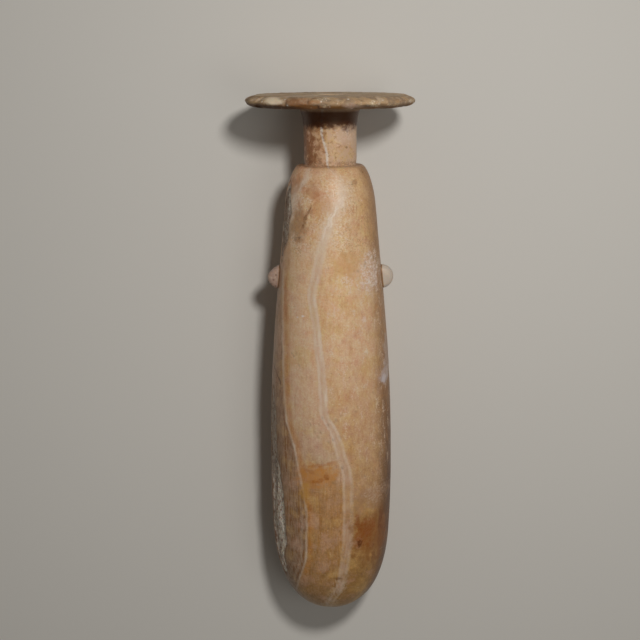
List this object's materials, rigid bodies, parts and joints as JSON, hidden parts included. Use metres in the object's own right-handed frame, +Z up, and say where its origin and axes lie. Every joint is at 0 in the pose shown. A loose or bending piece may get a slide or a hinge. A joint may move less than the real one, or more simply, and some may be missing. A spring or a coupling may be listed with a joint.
{
  "type": "alabastron",
  "caption": "Slender hollow stone flask with a round base, narrow neck, wide flat rim and small unpierced side lugs, lying on its side.",
  "frame": {"origin": "on the floor, under the middle of the bounding box of the flask as it lies", "axes": "+Y towards the mouth, along the flask as it lies, with its axis leaning up 3.2 degrees towards the mouth; +Z up, out of the flask's front; +X towards the right lug, seen from the front with the mouth at the top"},
  "size_m": [0.076, 0.2414, 0.0755],
  "materials": {
    "alabaster": "worn low polish, banded honey and cream calcite with brown stains and rough white flaked patches"
  },
  "bodies": {
    "root": {"alabastron": "alabaster"}
  },
  "joints": []
}
